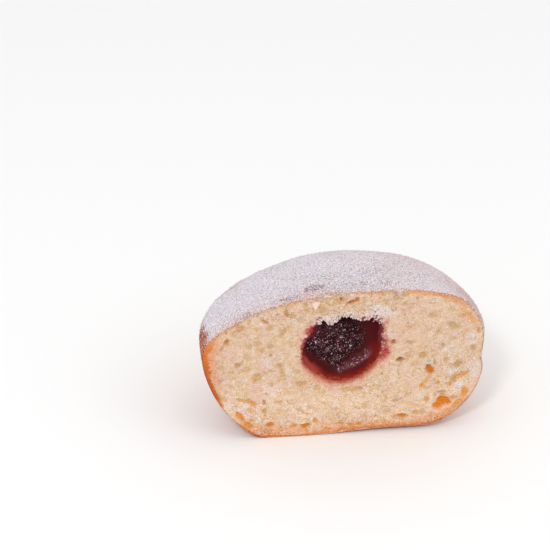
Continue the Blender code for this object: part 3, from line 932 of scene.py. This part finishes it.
def loose_crumbs(random, ball):
    """Small crumbs all over the cut, but not in its larger pores: (points, colour) of each."""
    outline = even_angles(HUB, LOOSE_CRUMBS)
    for angle, outer in zip(outline, reach_skin(HUB, in_plane(outline))):
        reach = math.sqrt(random.uniform((edge_reach(angle) + 2) ** 2, (outer - 1) ** 2))
        place = HUB + in_plane(np.array(angle)) * reach
        shape = rough_ball(random, ball, LARGEST_CRUMB, 0.3) * (1.4, 0.5, 1)
        if all(math.hypot(place[0] - x, place[2] - z) >= wide + 0.6 for x, z, wide, *_ in PORES):
            yield shape + place + (0, 0.1, 0), PALE_CRUMB * random.uniform(0.9, 1.05)


def flakes(ball):
    """Flakes that hang over the cut's upper edge: (points, colour) of each."""
    flake = np.sign(ball) * np.abs(ball) ** 0.4
    flake[:, 0] *= 0.55 + 0.45 * flake[:, 2]
    for x, z, wide, tall in FLAKES:
        rough = 1 + 0.25 * fractal(flake + x, 0.7, 3, 5)[:, None]
        yield flake * rough * (wide, 0.35, tall) + (x, CUT_Y - 0.05, z), FLAKE_CREAM


def make_torn_crumb():
    """Teeth and flakes of crumb that the knife tore loose, most of them round the pocket."""
    random = np.random.default_rng(TORN_SEED)
    ball, faces = unit_ball(2)
    bodies, shades = zip(*torn_bits(random, ball), *loose_crumbs(random, ball), *flakes(ball))
    made = join_bodies("torn_crumb", bodies, faces, np.array(shades))
    made.data.materials.append(crumb_material("torn_crumb"))


def crumb_material(name):
    paint = Paint(name)
    airy = paint.field("airy")
    grain = paint.cloud(0.34, 2, 0.7)
    # Painted shade and light of open crumb: its small holes are darker, as shade in them, and the foam walls
    # between them lighter.
    holes = paint.maths("MULTIPLY", paint.step(paint.cloud(0.6, 2, 0.6), 0.55, 0.66), airy)
    walls = paint.maths("MULTIPLY", paint.step(paint.cloud(0.8, 2, 0.6), 0.54, 0.66), airy)
    shade = paint.mix(paint.step(grain, 0.3, 0.7), (1.27, 1.31, 1.37), (0.72, 0.69, 0.65))
    colour = paint.mix(paint.step(airy, 0.1, 0.9, 0.7, 1), paint.painted(), shade, "MULTIPLY")
    colour = paint.mix(walls, colour, paint.mix(1, colour, (1.08, 1.13, 1.22), "MULTIPLY"))
    colour = paint.mix(holes, colour, paint.mix(1, colour, (0.74, 0.69, 0.62), "MULTIPLY"))
    normal = paint.bump(grain, 0.14)
    return paint.finish(Base_Color=colour, Roughness=0.8, Normal=normal, Specular_IOR_Level=0.06)


# --- the fried skin and its sugar


# The skin is a closed shell. Its inner rings are in degrees tipped back from the cut.
SKIN_INNER_TIPS = (78.0, 64.0, 50.0, 36.0, 24.0, 13.0, 5.0, 1.2, 0.3)
SKIN_THICKNESS = 0.45
SUGAR_COAT = 0.22
SUGAR_TINT = screen(252, 216, 202)
SKIN_PALE = screen(228, 204, 166)
SKIN_TAN = screen(216, 182, 136)
SKIN_GOLD = screen(214, 152, 80)
SKIN_ORANGE = screen(206, 112, 44)
SKIN_BROWN = screen(146, 58, 22)
RIM_PALE = screen(234, 208, 192)
FRIED_FLECK = screen(232, 180, 120)
SUGAR_WHITE = screen(236, 231, 236)
# Painted shade between the sugar's grains, lighter and darker.
SUGAR_SHADE_GREY = screen(188, 179, 187)
SUGAR_DEEP_SHADE_GREY = screen(150, 141, 149)
SUGAR_SPECK = screen(132, 92, 92)
SKIN_UNDER_SUGAR = screen(140, 104, 102)

# Where dark specks show through the coat: x, how far behind the cut, half width, half depth, and how many.
SPECKLED_PLACES = (
    (-41, 4, 2, 5, 1), (-31, 1, 5, 2, 0.8), (-9.5, 5, 4, 2.6, 1.6), (-17, 2, 5, 2, 0.75),
    (-2, 1, 5, 1.6, 0.6), (8, 5, 9, 4.5, 0.6), (14, 11, 9, 4, 0.4), (36, 1.5, 5, 3, 0.5),
)  # fmt: skip


def turn_of(points):
    """The direction about the doughnut's upright axis."""
    return np.arctan2(points[..., 1] - AXIS_Y, points[..., 0])


def sugar_cover(points):
    """How thick the powdered sugar lies, from 0 to 1: all of the crown, with a ragged lower edge."""
    turn, z = turn_of(points), points[..., 2]
    left = smooth(-np.cos(turn), 0.7, 1)
    behind = points[..., 1] - CUT_Y
    away = smooth(behind, 0, 6)
    edge = 33 + left * (1.5 * bell(behind - 4, 2.5) - 0.5) - 1.5 * np.sin(turn)
    ragged = 3 * fractal(points, 13, 3, 2) + 1.3 * fractal(points, 3.5, 3, 8)
    ragged = ragged * (0.4 + 0.6 * away) * (1 - 0.5 * left)
    above = 2.5 + 7 * away * (1 - left) + 3.5 * left
    cover = smooth(z + ragged, edge - 2.5 - 1.5 * left, edge + above)
    thin = 0.5 * smooth(fractal(points, 9, 3, 21), 0.05, 0.7) * smooth(z, 46, 36)
    return cover * (1 - thin)


def sugar_specks(points):
    """How many dark specks show through the coat, from 0 to 1."""
    specks = 0.2 * smooth(fractal(points, 7, 3, 21), 0, 0.6)
    patchy = 0.8 + 0.8 * fractal(points, 2.5, 3, 33)
    for x, y, wide, deep, strength in SPECKLED_PLACES:
        spread = bell(points[..., 0] - x, wide) * bell(points[..., 1] - CUT_Y - y, deep)
        specks = np.maximum(specks, strength * spread * patchy)
    return np.clip(specks, 0, 1)


def sugar_warmth(points):
    """How rosy the sugar looks, because the skin shines through it, from 0 to 1: most beside the cut."""
    x, behind = points[..., 0], points[..., 1] - CUT_Y
    right = 0.24 * smooth(x, -8, 26) + 0.3 * smooth(x, 28, 38)
    beside = 0.35 * bell(behind, 2.6) * smooth(x, 18, -2)
    beside += 0.15 * bell(behind, 6) * bell(x + 15, 14)
    patchy = 0.15 * fractal(points, 14, 2, 90) + 0.15 * fractal(points, 2, 3, 93)
    return np.clip(0.04 + right + beside + patchy, 0, 1)


def sugar_grain(points):
    """How coarse the sugar looks, from 0 to 1: finest on top and at the left, coarsest in front. The
    coarser, the darker the painted shade between its grains.
    """
    front = bell(points[..., 0] - 3, 16) * smooth(points[..., 1] - CUT_Y, 24, 6)
    return np.clip(0.1 + 0.85 * front + 0.4 * fractal(points, 8, 2, 97), 0, 1)


def skin_colours(points):
    """The fried skin: a pale, mottled belt round the middle, and orange-brown above and below it."""
    turn = turn_of(points)
    x, y, z = xyz(points)
    height = z + 2 * fractal(points, 16, 3, 40) + 0.7 * fractal(points, 4, 2, 44)
    right = smooth(np.cos(turn), 0.8, 1)
    left = smooth(-np.cos(turn), 0.65, 0.97)
    belt = smooth(height + 5 * right, 12.5, 22.5) * (1 - smooth(height - 4 * right, 26.5, 34))
    belt = belt * (1 - 0.9 * left)
    mottled = (0.15 + 0.45 * smooth(z, 27, 32)) * fractal(points, 6, 3, 47)
    beside_cut = smooth(x, 35, 39) * bell(y - CUT_Y, 3)
    return lay(
        SKIN_ORANGE,
        (0.15 + 0.25 * smooth(z, 12, 0) + 0.45 * left + mottled, SKIN_BROWN),
        (smooth(belt, 0, 0.55), SKIN_GOLD),
        (smooth(belt, 0.3, 0.9), SKIN_TAN),
        (smooth(belt, 0.5, 1) * (0.5 + 0.8 * fractal(points * (1, 1, 1.6), 4, 4, 49)), SKIN_PALE),
        (beside_cut * smooth(z, 12, 18), RIM_PALE),
    )


def make_skin():
    angles = even_angles(SKIN_HUB, SKIN_AROUND)
    skin = skin_rings(angles, 90 * np.linspace(0, 1, SKIN_RINGS + 1)[:-1] ** SKIN_CROWDING)
    normals = grid_normals(skin)
    looks = {
        "cover": sugar_cover(skin),
        "rosy": sugar_warmth(skin),
        "coarse": sugar_grain(skin),
        "specks": sugar_specks(skin),
    }
    behind, z = skin[..., 1] - CUT_Y, skin[..., 2]
    clumps = 0.5 + 0.5 * fractal(skin, 1.3, 3, 60)
    height = SUGAR_COAT * looks["cover"] * (0.4 + clumps) + 0.03 * fractal(skin, 1.6, 2, 64)
    height *= 0.35 + 0.65 * smooth(behind, 0, 1.5)
    height *= smooth(z, 0, 1.5)
    height += 0.28 * fractal(skin, 13, 2, 68) * smooth(behind, 0, 8) * smooth(z, 2, 9)
    coated = skin + normals * height[..., None]

    inner = skin_rings(angles, SKIN_INNER_TIPS, SKIN_THICKNESS)
    blank = np.zeros(inner.shape[:2])
    fields = {name: np.concatenate([blank, values[:1], values]) for name, values in looks.items()}
    fields["cover"][len(inner)] = 0
    about_hub = np.arctan2(skin[0, :, 2] - JELLY_Z, skin[0, :, 0] - JELLY_X)
    edge = browned(round_table(about_hub, 4, RIND), np.full(angles.shape, 0.8))
    edge = lay(RIM_PALE, (round_table(about_hub, 3, RIND), edge))[None]
    made = loft(
        "crust",
        np.concatenate([inner, skin[:1], coated]),
        skin_back(SKIN_THICKNESS),
        skin_back(),
        np.concatenate([plain(inner.shape[:2], PALE_CRUMB), edge, skin_colours(skin)]),
        fields,
    )
    made.data.materials.append(skin_material())
    return coated, normals, looks["cover"], looks["rosy"]


def skin_material():
    paint = Paint("crust")
    cover = paint.field("cover")
    fine = paint.cloud(0.5, 2, 0.6)
    fried = paint.mix(paint.step(fine, 0.55, 0.8, 0, 0.2), paint.painted(), FRIED_FLECK)
    grains = paint.cloud(0.4, 1, 0.6)
    lumps = paint.cloud(1.5, 2, 0.6)
    weighed = paint.maths("MULTIPLY", grains, 0.88)
    spread = paint.maths("ADD", weighed, paint.maths("MULTIPLY", lumps, 0.12))
    bar = paint.step(cover, 0, 1, 0.78, 0.24)
    powder = paint.step(paint.maths("SUBTRACT", spread, bar), -0.03, 0.06)
    # Painted shade: grey between the white grains, darker where the sugar is coarse.
    between = paint.mix(paint.field("coarse"), SUGAR_SHADE_GREY, SUGAR_DEEP_SHADE_GREY)
    white = paint.mix(paint.step(grains, 0.36, 0.58), between, SUGAR_WHITE)
    tint = paint.mix(paint.field("rosy"), (1, 1, 1), SUGAR_TINT)
    white = paint.mix(1, white, tint, "MULTIPLY")
    bound = paint.step(paint.field("specks"), 0, 1, 0.74, 0.44)
    dark = paint.step(paint.maths("SUBTRACT", paint.cloud(0.45, 1, 0.5), bound), 0, 0.06)
    white = paint.mix(paint.maths("MULTIPLY", dark, 0.8), white, SUGAR_SPECK)
    seen = paint.mix(paint.step(cover, 0.5, 0.9), fried, SKIN_UNDER_SUGAR)
    colour = paint.mix(powder, seen, white)
    rough = paint.mix(powder, (0.5, 0.5, 0.5), (0.95, 0.95, 0.95))
    normal = paint.bump(lumps, 0.2, Normal=paint.bump(grains, 0.2))
    return paint.finish(Base_Color=colour, Roughness=rough, Normal=normal, Specular_IOR_Level=0.05)


GRAIN_COUNT = 21000
GRAIN_SEED = 5
GRAIN_SIZE = 0.12  # the middle one of the grains' radii, which lie between the two that follow
GRAIN_SIZES = (0.05, 0.34)
GRAIN_WHITE = screen(232, 226, 230)
# An eight-sided crystal of radius 1.
CRYSTAL = np.array([(1, 0, 0), (-1, 0, 0), (0, 1, 0), (0, -1, 0), (0, 0, 1), (0, 0, -1)], float)
CRYSTAL_FACES = np.array(
    [(0, 2, 4), (2, 1, 4), (1, 3, 4), (3, 0, 4), (2, 0, 5), (1, 2, 5), (3, 1, 5), (0, 3, 5)]
)  # fmt: skip


def random_turns(random, count):
    """Rotation matrices that point every way."""
    quaternions = random.normal(size=(count, 4))
    quaternions /= np.linalg.norm(quaternions, axis=-1, keepdims=True)
    w, x, y, z = quaternions.T
    rows = (
        (1 - 2 * (y * y + z * z), 2 * (x * y - z * w), 2 * (x * z + y * w)),
        (2 * (x * y + z * w), 1 - 2 * (x * x + z * z), 2 * (y * z - x * w)),
        (2 * (x * z - y * w), 2 * (y * z + x * w), 1 - 2 * (x * x + y * y)),
    )
    return np.array(rows).transpose(2, 0, 1)


# How thickly sugar spills over the cut's upper edge at each x, and how many grains in all.
SPILL = (
    (-40, 0.1), (-35, 0.35), (-28, 0.6), (-18, 0.5), (-12, 0.9), (-6, 1.3), (0, 0.9), (3, 0.2), (13, 0.15),
    (14.2, 2.4), (16.6, 2.4), (18, 0.08), (27, 0.08), (32, 0.3), (38, 0.4), (41, 0.1),
)  # fmt: skip
SPILL_COUNT = 2400
SPILL_SIZES = (0.08, 0.24)
SPILL_ABOVE = 34.0
SPILL_SHADES = (GRAIN_WHITE, screen(238, 216, 206), screen(234, 196, 174), screen(200, 146, 116))


def spilled_grains(random):
    """Places along the cut's upper edge, and just over it."""
    angles = even_angles(SKIN_HUB, 3 * SKIN_AROUND)
    outline = SKIN_HUB + in_plane(angles) * reach_skin(SKIN_HUB, in_plane(angles))[:, None]
    weight = np.interp(outline[:, 0], *np.transpose(SPILL)) * (outline[:, 2] > SPILL_ABOVE)
    picks = random.choice(len(angles), SPILL_COUNT, p=weight / weight.sum())
    inward = random.exponential(0.45, SPILL_COUNT) - 0.35
    places = outline[picks] - in_plane(angles[picks]) * inward[:, None]
    places[:, 1] += random.uniform(-0.12, 0.1, SPILL_COUNT)
    return places


def make_grains(skin, normals, cover, rosy):
    """Loose sugar on the skin, one joined mesh: dense where the coat thins out, and sparse elsewhere."""
    random = np.random.default_rng(GRAIN_SEED)
    cell = np.linalg.norm(np.roll(skin, -1, axis=1) - skin, axis=-1)
    dusting = smooth(skin[..., 2], 24, 33)
    weight = cell * (0.25 * cover + 2.4 * cover * (1 - cover) + 0.03 * dusting)
    weight = weight.ravel() / weight.sum()
    picks = random.choice(weight.size, GRAIN_COUNT, p=weight)
    places = skin.reshape(-1, 3)[picks] + random.normal(0, 0.12, (GRAIN_COUNT, 3)) * (1, 0.3, 1)
    sizes = np.clip(random.lognormal(math.log(GRAIN_SIZE), 0.4, GRAIN_COUNT), *GRAIN_SIZES)
    sizes *= 1 - 0.3 * smooth(cover, 0.5, 1).ravel()[picks]
    sizes *= 1 - 0.4 * smooth(-places[:, 0], 36, 40)
    places = places + normals.reshape(-1, 3)[picks] * (0.3 * sizes)[:, None]
    places = np.concatenate([places, spilled_grains(random)])
    sizes = np.concatenate([sizes, random.uniform(*SPILL_SIZES, SPILL_COUNT)])
    count = len(places)
    shapes = CRYSTAL * random.uniform(0.6, 1.25, (count, 6, 1)) * sizes[:, None, None]
    bodies = shapes @ random_turns(random, count) + places[:, None]
    shades = GRAIN_WHITE * random.uniform(0.85, 1.05, (count, 1))
    shades[:GRAIN_COUNT] *= 1 - rosy.ravel()[picks, None] * (1 - SUGAR_TINT)
    spilled = np.array(SPILL_SHADES)[random.choice(len(SPILL_SHADES), SPILL_COUNT)]
    shades[GRAIN_COUNT:] = spilled * random.uniform(0.85, 1.05, (SPILL_COUNT, 1))
    made = join_bodies("sugar_grains", bodies, CRYSTAL_FACES, shades)
    paint = Paint("sugar_grain")
    made.data.materials.append(paint.finish(Base_Color=paint.painted(), Roughness=0.85))


# --- the jelly


JELLY_DARK = screen(42, 9, 13)
JELLY_PLUM = screen(64, 21, 30)
# Light specks painted on the jelly's lumps and ridge as their fine sparkle: painted highlights.
JELLY_SPARKLE = screen(134, 90, 98)
JELLY_MAROON = screen(68, 16, 17)
JELLY_WINE = screen(74, 14, 18)
JELLY_RED = screen(112, 20, 11)
JELLY_ROSE = screen(136, 44, 30)
JELLY_RIM = screen(174, 92, 72)
JELLY_VIOLET = screen(118, 48, 56)
JELLY_CORAL = screen(160, 64, 60)
RIDGE_PLUM = screen(108, 48, 58)
# A painted highlight.
GLINT = screen(218, 196, 200)

# The lower edge of the jelly's lumpy dark middle: (x, z).
CORE_FLOOR = (
    (-13, 31), (-11, 29.2), (-8, 27), (-5.5, 25.2), (-3.5, 23.4), (-2, 21.6), (-0.5, 22.2), (1, 24.5),
    (3, 26.8), (6, 28.6),
)  # fmt: skip
CORE_RIGHT = 5.0
# The jelly's ridge and gully, as lines through (x, z) corners. The gully is sunk and painted darker, as
# shade.
RIDGE = ((-1.8, 22.8), (0.5, 23.8), (3, 25.2), (5, 26.6), (6.2, 27.6), (6.6, 28.6))
GULLY = ((-0.5, 25.4), (1.5, 27.4), (4, 28.4), (6, 29.6))
# The jelly's body behind its face: its steps from the cut, how far behind them it lies, and how far it
# reaches into the crumb.
JELLY_STEPS = (1.2, 2.5, 5, 8, 12, 15.5, 17.8)
JELLY_BACK = 2.0
JELLY_OVERLAP = 0.1
# How wide the red ring inside the jelly's edge is: (x, z) on the edge, width.
RED_RING = (
    (10.2, 36, 1.2), (10.4, 33, 1.2), (10.6, 31, 1.4), (9.8, 28, 2), (7.2, 23.5, 2.4), (2.8, 20.1, 2.6),
    (-3, 19.3, 2.9), (-7.9, 21.3, 2.7), (-11.4, 24.3, 3), (-12.7, 26.6, 2.4), (-13.1, 28.8, 1.3),
    (-12.9, 31, 1.4), (-11.5, 34.2, 3), (-9.5, 37.7, 3.6), (-7, 39.6, 1), (0, 40.6, 0.1), (9.2, 38.8, 0.4),
)  # fmt: skip
# Painted highlights, as wet glints: middle (x, z), half width, half height, and a tilt in degrees where
# there is one.
GLINTS = (
    (-9.2, 32.8, 0.5, 0.4), (-2.3, 23.4, 0.3, 0.5, 20), (1.2, 24.5, 2, 0.35, 15), (5.8, 28.8, 0.5, 0.4),
    (-8.9, 32.2, 1, 0.35, -5), (-5.3, 29.8, 1, 0.45, 10), (-4.2, 26, 0.35, 0.9), (-2.7, 26.8, 0.6, 0.6),
    (-1.3, 37, 0.6, 0.6), (-1.5, 33.4, 0.5, 0.6), (1, 30.6, 0.9, 0.35, 35), (3.6, 26.4, 1.2, 0.5, 10),
    (5.4, 27.2, 0.7, 0.6, 30), (3.4, 25.3, 0.6, 0.5), (-1.9, 22.5, 0.5, 0.3),
)  # fmt: skip


def jelly_masks(face):
    """Where the jelly is lumpy, and where its ridge and its gully lie."""
    x, _, z = xyz(face)
    wander = fractal(face, 2.6, 3, 69)
    right = smooth(x + 0.9 * wander, CORE_RIGHT - 2.2, CORE_RIGHT + 1.6)
    above = smooth(z - np.interp(x, *np.transpose(CORE_FLOOR)) + 0.8 * wander, -0.8, 1.4)
    ridge = bell(off_path(face, RIDGE), 1.3)
    gully = bell(off_path(face, GULLY), 1.2)
    return above * (1 - right) * (1 - 0.85 * gully), ridge, gully


def jelly_colours(face, share, rim, angles):
    """The jelly's face: a dark lumpy middle, a wine-red right side and a red ring round the lower edge, with
    painted highlights and painted shade.
    """
    x, _, z = xyz(face)
    lumpy, ridge, gully = jelly_masks(face)
    wander = fractal(face, 2.4, 3, 72)
    streaks = fractal(face, 0.9, 3, 71)
    ring = (1 - share) * rim / np.maximum(round_table(angles, 2, RED_RING) * (1 + 0.3 * wander), 0.1)
    outer = lay(
        JELLY_RIM,
        (smooth(ring + 0.25 * streaks, 0, 0.35), JELLY_ROSE),
        (smooth(ring + 0.25 * streaks, 0.2, 0.65), JELLY_RED),
        (0.7 * smooth(z, 30, 33) * smooth(np.abs(x), 4, 8), JELLY_VIOLET),
        (0.7 * smooth(-x, 6, 11) * smooth(z, 29.5, 27), JELLY_CORAL),
    )
    inner = lay(
        JELLY_MAROON,
        (smooth(x + 0.8 * wander, 5, 8), JELLY_WINE),
        (smooth(z, 33, 29.5) * smooth(x, 5, 8), JELLY_RED * 0.8),
    )
    lumpy = lumpy * smooth(ring + 0.3 * streaks, 0.1, 1)
    plum = fractal(face, 1.6, 3, 70) + 0.25 * spot(face, -7.5, 34, 2.2, 2) - 0.15 * smooth(z, 34, 37)
    specks = smooth(fractal(face, 0.25, 2, 73) + 0.7 * plum, 0.4, 0.68)
    shaded_pits = smooth(-fractal(face, 0.5, 2, 81), 0.05, 0.4)
    # Painted highlights: glints near the places in GLINTS, and sparse ones over the lumps.
    bright = smooth(fractal(face, 0.3, 1, 75), 0.2, 0.34)
    near = np.clip(0.85 * sum(spot(face, *glint) for glint in GLINTS), 0, 1)
    sparse = 0.6 * lumpy * smooth(fractal(face, 0.26, 1, 91), 0.44, 0.54) * smooth(z, 39, 36)
    return lay(
        outer,
        (smooth(ring + 0.15 * streaks, 0.55, 1.25), inner),
        (lumpy, JELLY_DARK),
        (lumpy * smooth(plum, -0.35, 0.5) * 0.8, JELLY_PLUM),
        (lumpy**2 * 0.48 * specks, JELLY_SPARKLE),
        # Painted shade: darker pits among the lumps.
        (lumpy * 0.8 * shaded_pits, JELLY_DARK * 0.6),
        # Painted shade: the sunk gully is darker.
        (gully * 0.8, JELLY_MAROON * 0.85),
        (ridge * (0.6 + 0.4 * streaks), RIDGE_PLUM),
        # Painted highlights on the ridge.
        (ridge * 0.5 * specks, JELLY_SPARKLE * 1.3),
        (bright * near + sparse, GLINT),
    )


def make_jelly():
    angles = np.linspace(0, TAU, JELLY_AROUND, endpoint=False)
    share = np.linspace(0, 1, JELLY_FACE_RINGS + 1)[1:, None]
    roof = smooth(np.sin(angles), 0, 0.7)
    rim = round_table(angles, 0) + 0.5
    face = HUB + in_plane(angles) * (rim * share)[..., None]
    seen = settle(face)
    colours = jelly_colours(seen, share, rim, angles)
    lumpy, ridge, gully = jelly_masks(seen)
    edge = share**6
    depth = (0.5 + 1.9 * smooth(face[..., 2], 27, 39)) * (1 - edge)
    depth += edge * (0.3 * LIP + 0.1 + 2 * roof)
    depth += (0.6 * gully - 0.9 * ridge) * (1 - edge)
    lumps = 0.6 * fractal(face, 2.6, 2, 76) + 0.25 * fractal(face, 0.9, 2, 77)
    lumps += 0.12 * fractal(face, 0.45, 1, 78)
    depth -= np.clip(lumpy + 0.6 * ridge, 0, 1) * lumps + 0.12 * fractal(face, 4, 2, 79)
    face[..., 1] += depth
    body = tunnel(angles, JELLY_OVERLAP, JELLY_DEPTH, JELLY_STEPS, JELLY_BACK)
    made = loft(
        "jelly_filling",
        np.concatenate([face, body]),
        face[0].mean(axis=0),
        HUB + (0, JELLY_DEPTH + 1.5, 0),
        np.concatenate([colours, plain(body.shape[:2], JELLY_WINE)]),
    )
    paint = Paint("jelly")
    normal = paint.bump(paint.cloud(0.7, 3, 0.6), 0.12)
    looks = {"Base_Color": paint.painted(), "Roughness": 0.25, "Normal": normal, "Specular_IOR_Level": 0.05}
    made.data.materials.append(paint.finish(**looks))
    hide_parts("jelly")


# --- stage, camera and lights


# In metres: the floor's half width, how near the camera sees, and the place that the lamps are turned to.
FLOOR_HALF = 3.0
CLIP_START = 0.01
LIT_PLACE = (0, 0, 0.02)
FLOOR_WHITE = (0.93, 0.93, 0.93)
SKY_STRENGTH = 0.88
# The lamps: name, place and size in metres, power.
LIGHTS = (("key", (-0.3, -0.7, 0.75), 0.15, 2.6), ("fill", (0.6, -0.5, 0.7), 0.5, 0.8))


def aim(place, target):
    """A transform at place that looks at target, with no roll."""
    forward = (Vector(target) - Vector(place)).normalized()
    right = forward.cross(Vector((0, 0, 1))).normalized()
    up = right.cross(forward)
    turned = Matrix((right, up, -forward)).transposed().to_4x4()
    return Matrix.Translation(place) @ turned


def make_camera():
    aside, ahead, level = math.sin(VIEW_TURN), math.cos(VIEW_TURN), math.cos(VIEW_RISE)
    forward = Vector((aside * level, ahead * level, -math.sin(VIEW_RISE)))
    right = Vector((ahead, -aside, 0))
    up = right.cross(forward)
    middle = Vector((0, AXIS_Y, HEIGHT / 2))
    place = (middle - forward * VIEW_DISTANCE) * MM
    target = (middle - right * AIM_LEFT + up * AIM_UP) * MM
    data = bpy.data.cameras.new("camera")
    data.sensor_width = SENSOR
    data.lens = LENS
    data.clip_start = CLIP_START
    bpy.context.scene.camera = add_object("camera", data, aim(place, target))


def make_floor():
    mesh = bpy.data.meshes.new("floor")
    corners = [(x * FLOOR_HALF, y * FLOOR_HALF, 0) for x, y in ((-1, -1), (1, -1), (1, 1), (-1, 1))]
    mesh.from_pydata(corners, [], [(0, 1, 2, 3)])
    mesh.materials.append(Paint("floor").finish(Base_Color=FLOOR_WHITE, Roughness=0.9))
    floor = add_object("floor", mesh)


def make_light(name, place, size, power):
    data = bpy.data.lights.new(name, "AREA")
    data.shape = "SQUARE"
    data.size = size
    data.energy = power
    add_object(name, data, aim(Vector(place), Vector(LIT_PLACE)))


def make_lights():
    world = bpy.data.worlds.new("studio")
    bpy.context.scene.world = world
    world.use_nodes = True
    background = world.node_tree.nodes["Background"].inputs
    background["Color"].default_value = (1, 1, 1, 1)
    background["Strength"].default_value = SKY_STRENGTH
    for light in LIGHTS:
        make_light(*light)
    bpy.context.scene.view_settings.view_transform = "Standard"


def main():
    make_camera()
    make_crumb()
    make_torn_crumb()
    make_grains(*make_skin())
    make_jelly()
    make_floor()
    make_lights()


main()
